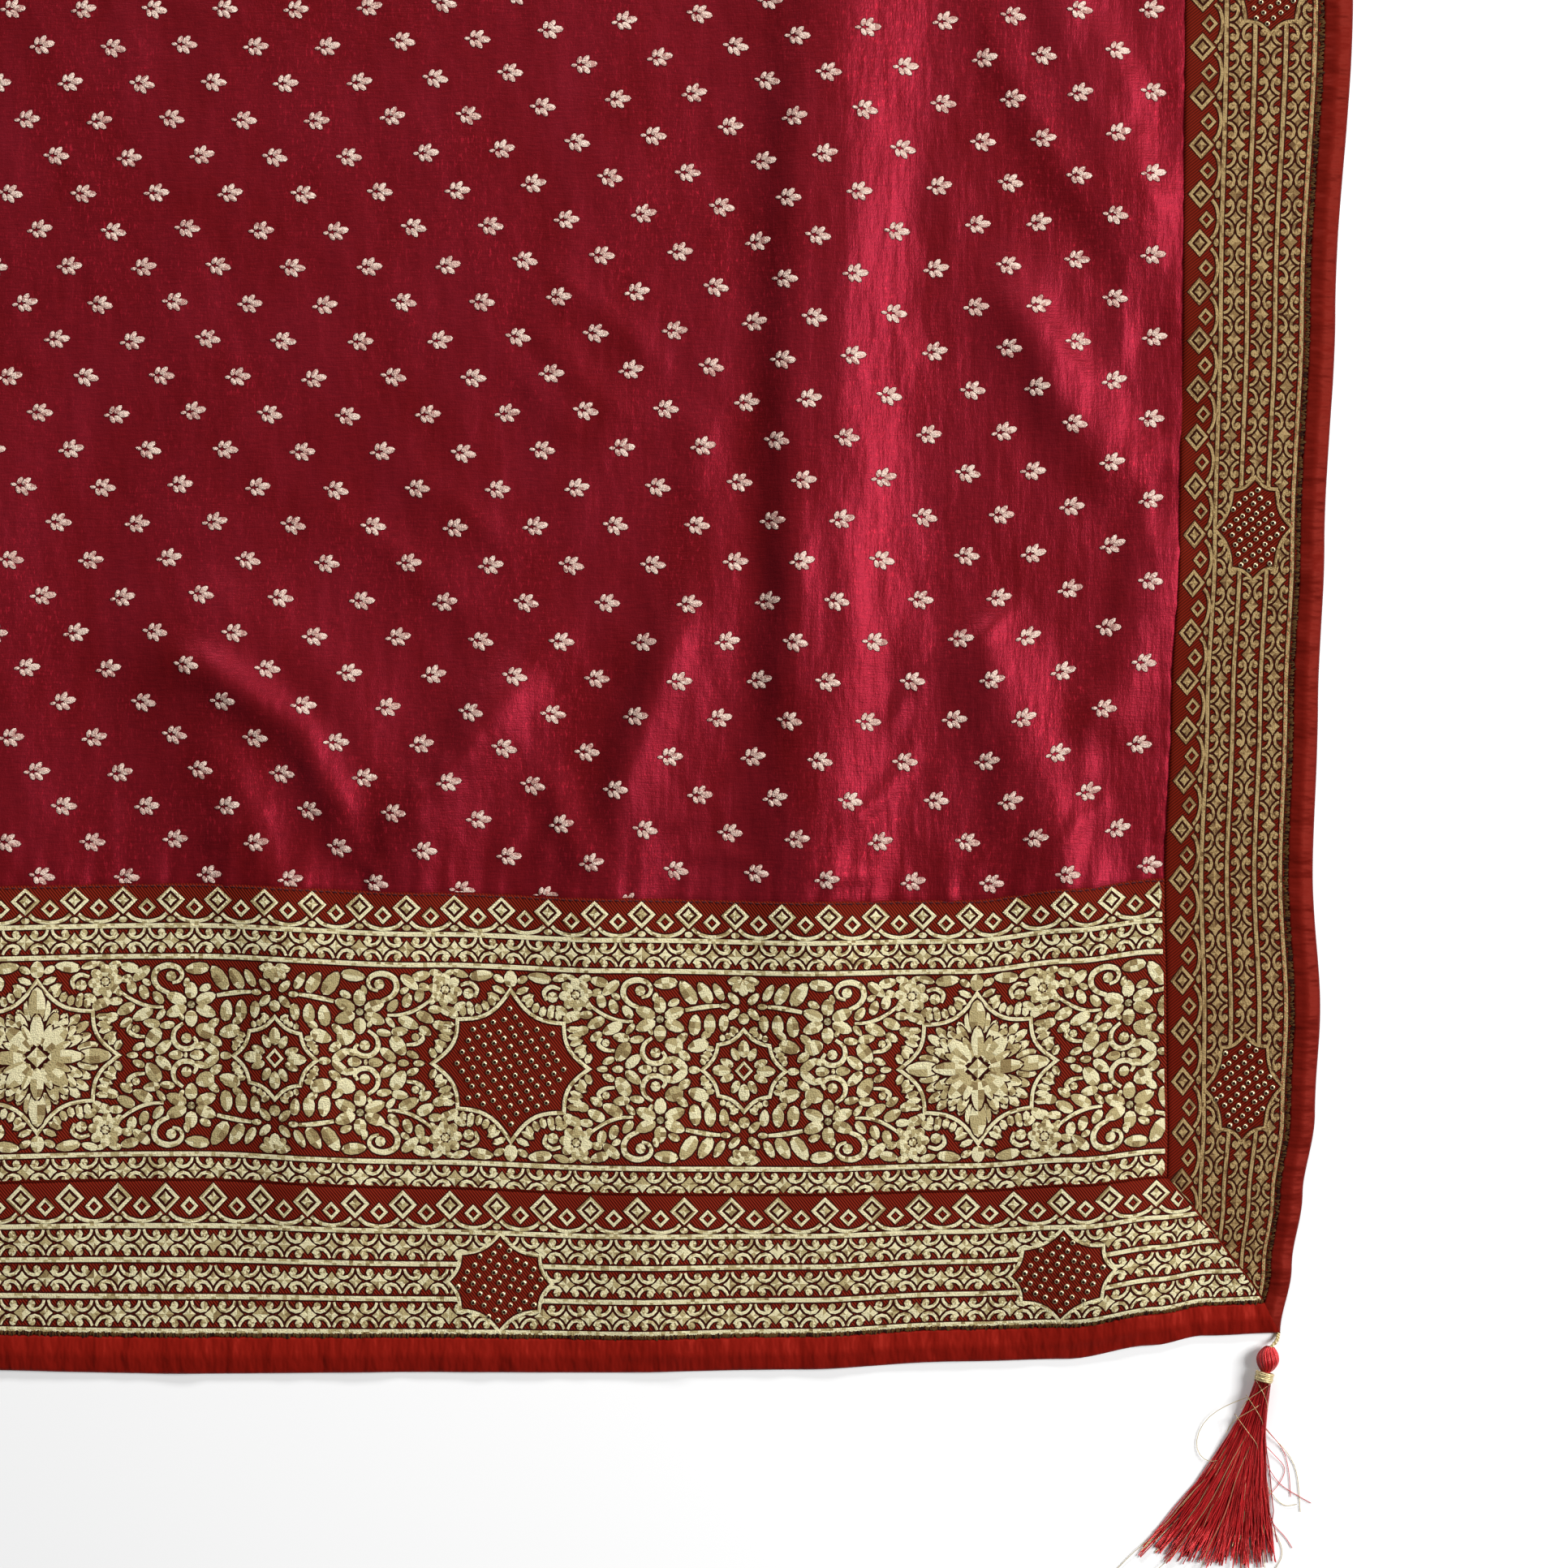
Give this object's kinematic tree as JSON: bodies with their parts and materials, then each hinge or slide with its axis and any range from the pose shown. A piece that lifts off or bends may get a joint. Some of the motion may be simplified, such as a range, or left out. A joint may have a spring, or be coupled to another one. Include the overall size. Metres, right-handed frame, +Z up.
{
  "type": "saree laid flat",
  "caption": "Long silk cloth laid flat, with a woven butta ground, brocade pallu band, lace along its edges, a satin binding and corner tassels.",
  "frame": {"origin": "on the table, under the middle of everything that lies there", "axes": "+Y along the cloth, away from the decorated pallu end; +X across it, towards the right-hand edge as seen from above with the pallu end nearest; +Z up"},
  "size_m": [1.1138, 5.5832, 0.0089],
  "materials": {
    "silk_ground": "shot silk with a soft sheen and small woven metallic flowers",
    "zari_brocade": "red twill with dense pale gold metallic brocade",
    "pallu_lace": "red twill with pale gold metallic rows and small beads",
    "edge_lace": "red twill with old gold metallic rows and small beads",
    "satin_binding": "bright red satin folded to a soft roll",
    "tassel_thread": "crimson silk thread",
    "gold_thread": "gold metallic thread"
  },
  "bodies": {
    "root": {"field_cloth": "silk_ground", "pallu_band": "zari_brocade", "pallu_lace": "pallu_lace", "pallu_binding": "satin_binding", "right_lace": "edge_lace", "right_binding": "satin_binding", "left_lace": "edge_lace", "left_binding": "satin_binding", "right_tassel_loop": "gold_thread", "right_tassel_knot": "tassel_thread", "right_tassel_collar": "gold_thread", "right_tassel_skirt": "tassel_thread", "left_tassel_loop": "gold_thread", "left_tassel_knot": "tassel_thread", "left_tassel_collar": "gold_thread", "left_tassel_skirt": "tassel_thread"}
  },
  "joints": []
}
